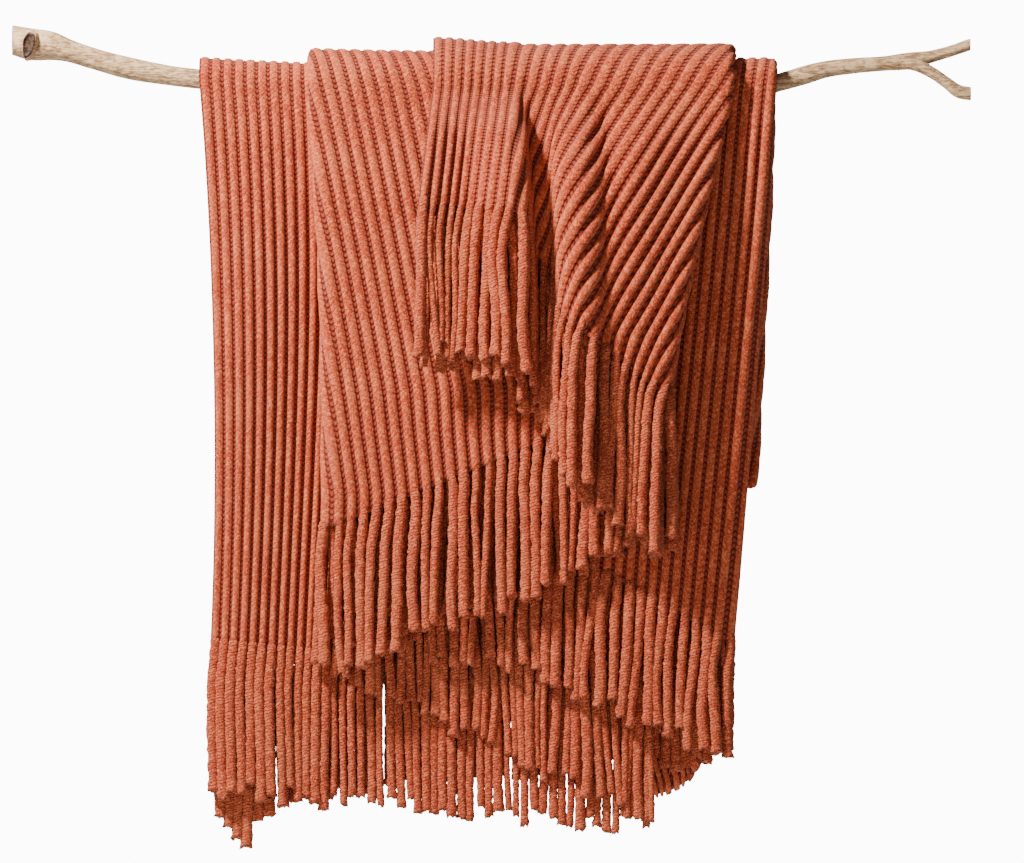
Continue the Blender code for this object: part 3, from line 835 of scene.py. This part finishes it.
class Shader:
    """Short ways to add nodes to a material."""

    def __init__(self, name, colour, roughness):
        """New material of one plain colour."""
        self.material = bpy.data.materials.new(name)
        self.material.use_nodes = True
        self.tree = self.material.node_tree
        self.shader = self.tree.nodes["Principled BSDF"]
        self.shader.inputs["Base Color"].default_value = colour
        self.shader.inputs["Roughness"].default_value = roughness

    def add(self, kind, **settings):
        """New node with its settings."""
        node = self.tree.nodes.new(kind)
        for name, value in settings.items():
            setattr(node, name, value)
        return node

    def feed(self, target, name, source):
        """Set an input to a socket or a plain value."""
        if isinstance(source, (int, float, tuple)):
            target.inputs[name].default_value = source
        else:
            self.tree.links.new(source, target.inputs[name])

    def place(self):
        """Place of a point on its piece, in metres."""
        return self.add("ShaderNodeTexCoord").outputs["Object"]

    def knit_place(self):
        """Place of a point in the knit, from the texture coordinates."""
        grid = self.add("ShaderNodeSeparateXYZ")
        self.feed(grid, "Vector", self.add("ShaderNodeUVMap", uv_map="knit").outputs["UV"])
        return grid.outputs["X"], grid.outputs["Y"]

    def surface(self, colour, height, distance):
        """Set the colour and the relief, and return the material."""
        self.feed(self.shader, "Base Color", colour)
        self.feed(self.shader, "Normal", self.bump(height, distance))
        return self.material

    def math(self, operation, first, second=0.0, third=0.0):
        """Sum, product or the like of up to three values."""
        node = self.add("ShaderNodeMath", operation=operation)
        for index, value in enumerate((first, second, third)):
            self.feed(node, index, value)
        return node.outputs[0]

    def spread(self, value, low, high, to_low=0.0, to_high=1.0):
        """Value remapped smoothly from one range to another."""
        node = self.add("ShaderNodeMapRange", interpolation_type="SMOOTHSTEP")
        for name, item in (("Value", value), ("From Min", low), ("From Max", high),
                           ("To Min", to_low), ("To Max", to_high)):
            self.feed(node, name, item)
        return node.outputs["Result"]

    def noise(self, vector, scale, detail=2.0, roughness=0.5):
        """Soft random pattern, 0 to 1."""
        node = self.add("ShaderNodeTexNoise")
        self.feed(node, "Vector", vector)
        self.feed(node, "Scale", scale)
        self.feed(node, "Detail", detail)
        self.feed(node, "Roughness", roughness)
        return node.outputs["Fac"]

    def mix(self, factor, first, second):
        """Blend of two colours."""
        node = self.add("ShaderNodeMix", data_type="RGBA")
        self.feed(node, 0, factor)
        self.feed(node, 6, first)
        self.feed(node, 7, second)
        return node.outputs[2]

    def layer(self, under, over, pattern, low, high, at_low=0.0, at_high=1.0):
        """Lay one colour over another, by how far a pattern is in a range."""
        return self.mix(self.spread(pattern, low, high, at_low, at_high), under, over)

    def bump(self, height, distance):
        """Normal that a height gives, at full strength."""
        node = self.add("ShaderNodeBump")
        self.feed(node, "Strength", 1.0)
        self.feed(node, "Distance", distance)
        self.feed(node, "Height", height)
        return node.outputs["Normal"]


# Colours and sheen of the yarn; its pale and deep tones also serve as painted highlight and
# painted shade, and its darkest colour is painted shadow
YARN = (0.75, 0.124, 0.040, 1.0)
# Pale tone of the pile, also the painted highlight on its raised tips
YARN_PALE_AND_HIGHLIGHT = (0.98, 0.275, 0.108, 1.0)
# Deep tone of the pile, also the painted shade at its low roots, in the grooves and between the
# rows
YARN_DEEP_AND_SHADE = (0.36, 0.038, 0.015, 1.0)
# Painted shadow: the thin lines beside the grooves and the gaps between the loops
YARN_PAINTED_SHADOW = (0.10, 0.007, 0.004, 1.0)
YARN_ROUGHNESS = 0.93
SHEEN = 0.22
SHEEN_ROUGHNESS = 0.45
SHEEN_TINT = (1.0, 0.60, 0.42, 1.0)
YARN_SPECULAR = 0.15

# Fineness of the yarn's pile, its tufts and its slow change of tone
GRAIN_SCALE = 800.0
TUFT_SCALE = 330.0
CLOUD_SCALE = 28.0

# The knit's pattern: across a groove in shares of a rib, along it in stitches
GROOVE_EDGE = (0.12, 0.21)
# A thin painted shadow line on each side of a groove, where a rib would shade it: its place and
# edges
PAINTED_SHADOW_AT = 0.13
PAINTED_SHADOW_EDGE = (0.01, 0.05)
STITCH_SLANT = 1.6
STITCH_SHIFT = 0.37
STITCH_WOBBLE = 0.7
STITCH_WOBBLE_SCALE = 160.0
LOOP_EDGE = (0.12, 0.30)
ROW_EDGE = (0.02, 0.20)
RISE_EDGE = (0.0, 0.3)

# How much painted shade darkens the grooves, the gaps between loops and the rows, how dark the
# painted shadow lines beside the grooves are, and how far rows and gaps stand out
GROOVE_PAINTED_SHADE = 0.85
PAINTED_SHADOW_DARK = 0.75
GAP_PAINTED_SHADE = 0.90
ROW_PAINTED_SHADE = 0.38
ROW_RELIEF = 0.35
GAP_RELIEF = 0.9
KNIT_PILE = 1.6
KNIT_BUMP = 0.0010

# The chenille's pattern: rows of pile wound round the cord, with painted shade between them
WOUND_SLANT = 3.0
WOUND_WOBBLE = 1.7
WOUND_WOBBLE_SCALE = 320.0
WOUND_EDGE = (0.04, 0.26)
WOUND_RELIEF = 0.9
CHENILLE_PILE = 1.5
CHENILLE_BUMP = 0.0012

# Colours and grain of the bare wood and of the dark wood inside it
WOOD = (0.62, 0.40, 0.21, 1.0)
GRAIN_DARK = (0.27, 0.125, 0.042, 1.0)
GRAIN_LIGHT = (0.74, 0.46, 0.23, 1.0)
PALE_PATCH = (0.85, 0.58, 0.31, 1.0)
BROWN_PATCH = (0.24, 0.12, 0.05, 1.0)
SPECK = (0.20, 0.10, 0.045, 1.0)
WOOD_ROUGHNESS = 0.65
WOOD_STRETCH = (0.20, 1.0, 1.0)
WOOD_GRAIN_SCALE = 700.0
WOOD_FINE_SCALE = 1400.0
WOOD_FINE_RELIEF = 0.4
PATCH_SCALE = 60.0
SPECK_SCALE = 420.0
WOOD_BUMP = 0.0009
HEARTWOOD = (0.10, 0.05, 0.02, 1.0)
HEARTWOOD_DARK = (0.012, 0.005, 0.002, 1.0)
HEARTWOOD_LIGHT = (0.12, 0.05, 0.018, 1.0)
HEARTWOOD_ROUGHNESS = 0.85
HEARTWOOD_SCALE = 500.0
HEARTWOOD_BUMP = 0.0012


def pile_colour(shader, where):
    """Mottled chenille: random tufts and a slow change of tone, with a painted highlight on the
    raised pile tips and painted shade at its low roots.
    """
    grain = shader.noise(where, GRAIN_SCALE, 3.0, 0.7)
    tuft = shader.noise(where, TUFT_SCALE, 2.0)
    cloud = shader.noise(where, CLOUD_SCALE, 2.0)
    # The grain that raises the pile's bump also paints it: painted shade where it is low, painted
    # highlight where it is high
    colour = shader.layer(YARN_DEEP_AND_SHADE, YARN, grain, 0.38, 0.60)
    colour = shader.layer(colour, YARN_PALE_AND_HIGHLIGHT, grain, 0.54, 0.72)
    colour = shader.layer(colour, YARN_DEEP_AND_SHADE, tuft, 0.34, 0.48, 0.45, 0.0)
    colour = shader.layer(colour, YARN_PALE_AND_HIGHLIGHT, tuft, 0.54, 0.66, 0.0, 0.40)
    return shader.layer(colour, YARN_PALE_AND_HIGHLIGHT, cloud, 0.40, 0.75, 0.0, 0.22), grain


def knit_material():
    """Rib knit: smooth pile on the ribs, a chain of small loops in each groove, painted shade in
    the grooves, between the loops and between the rows, and a painted shadow line beside each
    groove.
    """
    shader = Shader("terracotta_rib_knit", YARN, YARN_ROUGHNESS)
    soften(shader)
    where = shader.place()
    across, along = shader.knit_place()
    from_groove = shader.math("PINGPONG", across, 0.5)
    shift = shader.math("MULTIPLY", shader.math("ROUND", across), STITCH_SHIFT)
    noise = shader.noise(where, STITCH_WOBBLE_SCALE, 1.0)
    wobble = shader.math("MULTIPLY", noise, STITCH_WOBBLE)
    slant = shader.math("MULTIPLY_ADD", from_groove, STITCH_SLANT, along)
    turn = shader.math("ADD", shader.math("ADD", slant, shift), wobble)
    stitch = shader.math("PINGPONG", turn, 0.5)
    in_groove = shader.spread(from_groove, *GROOVE_EDGE, 1.0, 0.0)
    loop_gap = shader.math("MULTIPLY", shader.spread(stitch, *LOOP_EDGE, 1.0, 0.0), in_groove)
    # Painted shadow: a thin dark line at that place beside each groove
    from_painted_shadow = shader.math("ABSOLUTE", shader.math("SUBTRACT", from_groove, PAINTED_SHADOW_AT))
    painted_shadow = shader.math("MULTIPLY", shader.spread(from_painted_shadow, *PAINTED_SHADOW_EDGE, 1.0, 0.0), PAINTED_SHADOW_DARK)
    colour, grain = pile_colour(shader, where)
    # Painted shade: the grooves between the ribs are darkened towards the deep tone
    colour = shader.mix(shader.math("MULTIPLY", in_groove, GROOVE_PAINTED_SHADE), colour, YARN_DEEP_AND_SHADE)
    # Painted shade between the rows of stitches
    between = shader.math("MULTIPLY", shader.spread(stitch, *ROW_EDGE, 1.0, 0.0), ROW_PAINTED_SHADE)
    colour = shader.mix(between, colour, YARN_DEEP_AND_SHADE)
    # Painted shade in the gaps between the loops of the groove chain, and the painted shadow
    # lines, both towards the darkest colour
    dark = shader.math("MAXIMUM", painted_shadow, shader.math("MULTIPLY", loop_gap, GAP_PAINTED_SHADE))
    rows = shader.math("MULTIPLY", shader.spread(stitch, *RISE_EDGE), ROW_RELIEF)
    height = shader.math("SUBTRACT", rows, shader.math("MULTIPLY", loop_gap, GAP_RELIEF))
    height = shader.math("MULTIPLY_ADD", grain, KNIT_PILE, height)
    return shader.surface(shader.mix(dark, colour, YARN_PAINTED_SHADOW), height, KNIT_BUMP)


def soften(shader):
    """Sheen of a short soft pile."""
    shader.feed(shader.shader, "Sheen Weight", SHEEN)
    shader.feed(shader.shader, "Sheen Roughness", SHEEN_ROUGHNESS)
    shader.feed(shader.shader, "Sheen Tint", SHEEN_TINT)
    shader.feed(shader.shader, "Specular IOR Level", YARN_SPECULAR)


def chenille_material():
    """Chenille cord: rows of pile wound slantwise round a core, with painted shade between the
    rows.
    """
    shader = Shader("terracotta_chenille", YARN, YARN_ROUGHNESS)
    soften(shader)
    where = shader.place()
    around, along = shader.knit_place()
    noise = shader.noise(where, WOUND_WOBBLE_SCALE, 1.0)
    wobble = shader.math("MULTIPLY", noise, WOUND_WOBBLE)
    wound = shader.math("MULTIPLY_ADD", around, WOUND_SLANT, along)
    row = shader.math("PINGPONG", shader.math("ADD", wound, wobble), 0.5)
    between = shader.spread(row, *WOUND_EDGE, 1.0, 0.0)
    colour, grain = pile_colour(shader, where)
    # Painted shade between the wound rows, deepest where the pile is low
    dark = shader.math("MULTIPLY", between, shader.spread(grain, 0.35, 0.62, 0.90, 0.35))
    hollow = shader.math("MULTIPLY", between, -WOUND_RELIEF)
    height = shader.math("MULTIPLY_ADD", grain, CHENILLE_PILE, hollow)
    return shader.surface(shader.mix(dark, colour, YARN_DEEP_AND_SHADE), height, CHENILLE_BUMP)


def wood_material():
    """Bare dry branch: long grain, pale ridges, brown scars."""
    shader = Shader("dry_branch_wood", WOOD, WOOD_ROUGHNESS)
    where = shader.place()
    stretch = shader.add("ShaderNodeMapping")
    shader.feed(stretch, "Vector", where)
    shader.feed(stretch, "Scale", WOOD_STRETCH)
    grain = shader.noise(stretch.outputs["Vector"], WOOD_GRAIN_SCALE, 4.0, 0.65)
    patch = shader.noise(where, PATCH_SCALE, 3.0, 0.6)
    speck = shader.noise(where, SPECK_SCALE, 2.0, 0.6)
    colour = shader.layer(GRAIN_DARK, GRAIN_LIGHT, grain, 0.38, 0.60)
    colour = shader.layer(colour, PALE_PATCH, patch, 0.52, 0.68, 0.0, 0.7)
    colour = shader.layer(colour, BROWN_PATCH, patch, 0.30, 0.44, 0.65, 0.0)
    colour = shader.layer(colour, SPECK, speck, 0.30, 0.42, 0.6, 0.0)
    fine = shader.noise(where, WOOD_FINE_SCALE, 2.0)
    height = shader.math("ADD", grain, shader.math("MULTIPLY", fine, WOOD_FINE_RELIEF))
    return shader.surface(colour, height, WOOD_BUMP)


def heartwood_material():
    """Dark weathered wood in the hollow of the broken stub."""
    shader = Shader("dark_heartwood", HEARTWOOD, HEARTWOOD_ROUGHNESS)
    grain = shader.noise(shader.place(), HEARTWOOD_SCALE, 4.0, 0.7)
    colour = shader.layer(HEARTWOOD_DARK, HEARTWOOD_LIGHT, grain, 0.40, 0.62)
    return shader.surface(colour, grain, HEARTWOOD_BUMP)


# The surroundings: white paper all round, and soft light from the upper left
AMBIENT_COLOUR = (0.84, 0.80, 1.0, 1.0)
AMBIENT_STRENGTH = 0.13
PAPER_COLOUR = (1.0, 1.0, 1.0, 1.0)
PAPER_STRENGTH = 12.0
LIGHT_AIM = (0.33, 0.0, -0.28)
Lamp = namedtuple("Lamp", "name place size power")
LAMPS = (
    Lamp("key", (-0.62, -0.74, 0.86), 0.28, 82.0),
    Lamp("fill", (0.2, -2.4, 0.2), 1.4, 7.0),
)
FLOOR_COLOUR = (0.9, 0.9, 0.9, 1.0)
FLOOR_ROUGHNESS = 0.9
FLOOR_DROP = 0.35
FLOOR_HALF = 4.0


def photo_place(x, y):
    """World X and Z of a pixel of the photograph, on the throw's plane."""
    return (x - ORIGIN_PIXEL[0]) * PIXEL, (ORIGIN_PIXEL[1] - y) * PIXEL


def add_camera():
    """Face-on camera whose frame is the photograph's."""
    x, z = photo_place(PHOTO_WIDTH / 2.0, PHOTO_HEIGHT / 2.0)
    data = bpy.data.cameras.new("camera")
    data.sensor_width = SENSOR
    data.lens = SENSOR * CAMERA_DISTANCE / (PHOTO_WIDTH * PIXEL)
    camera = bpy.data.objects.new("camera", data)
    camera.location = (x, SUBJECT_Y - CAMERA_DISTANCE, z)
    camera.rotation_euler = (math.radians(90), 0.0, 0.0)
    bpy.context.scene.collection.objects.link(camera)
    bpy.context.scene.camera = camera


def add_lamp(lamp):
    """Soft area light turned towards the throw."""
    data = bpy.data.lights.new(lamp.name, "AREA")
    data.shape = "DISK"
    data.size = lamp.size
    data.energy = lamp.power
    light = bpy.data.objects.new(lamp.name, data)
    light.location = lamp.place
    direction = Vector(LIGHT_AIM) - Vector(lamp.place)
    light.rotation_euler = direction.to_track_quat("-Z", "Y").to_euler()
    bpy.context.scene.collection.objects.link(light)


def add_world():
    """White to the camera, and a dim cool light on the throw."""
    world = bpy.data.worlds.new("studio")
    bpy.context.scene.world = world
    world.use_nodes = True
    tree = world.node_tree
    ambient = tree.nodes["Background"]
    ambient.inputs["Color"].default_value = AMBIENT_COLOUR
    ambient.inputs["Strength"].default_value = AMBIENT_STRENGTH
    paper = tree.nodes.new("ShaderNodeBackground")
    paper.inputs["Color"].default_value = PAPER_COLOUR
    paper.inputs["Strength"].default_value = PAPER_STRENGTH
    choose = tree.nodes.new("ShaderNodeMixShader")
    path = tree.nodes.new("ShaderNodeLightPath")
    tree.links.new(path.outputs["Is Camera Ray"], choose.inputs["Fac"])
    tree.links.new(ambient.outputs["Background"], choose.inputs[1])
    tree.links.new(paper.outputs["Background"], choose.inputs[2])
    tree.links.new(choose.outputs["Shader"], tree.nodes["World Output"].inputs["Surface"])


def add_floor():
    """Wide pale floor well below the throw."""
    level = cad_low.z - FLOOR_DROP
    corners = [(-FLOOR_HALF, -FLOOR_HALF, level), (FLOOR_HALF, -FLOOR_HALF, level),
               (FLOOR_HALF, FLOOR_HALF, level), (-FLOOR_HALF, FLOOR_HALF, level)]
    floor = bpy.data.meshes.new("floor")
    floor.from_pydata(corners, [], [(0, 1, 2, 3)])
    floor.materials.append(Shader("pale_paper", FLOOR_COLOUR, FLOOR_ROUGHNESS).material)
    ground = bpy.data.objects.new("floor", floor)
    bpy.context.scene.collection.objects.link(ground)


def dress():
    """Make every piece and tie it to the frame."""
    knit = knit_material()
    chenille = chenille_material()
    wood = wood_material()
    cloth = build_cloth(knit)
    fringes = [
        build_fringe("chenille_outer", 1, chenille),
        build_fringe("chenille_inner", 2, chenille),
    ]
    limbs = [
        build_wood("branch_stem", stem_spots(), True, STEM_SEED, wood),
        build_wood("branch_twig", SIDE_TWIG, True, TWIG_SEED, wood),
        build_wood("branch_stub", STUB, False, STUB_SEED, wood, STUB_SHAPE, STUB_HOLLOW),
    ]
    for piece in cloth + fringes + limbs:
        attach(piece, "root")
    for piece in cloth:
        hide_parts("cloth")
    for piece, node in zip(fringes, ("fringe_outer", "fringe_inner")):
        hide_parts(node)
    for piece in limbs:
        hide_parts("branch")


add_camera()
dress()
add_world()
for each in LAMPS:
    add_lamp(each)
add_floor()
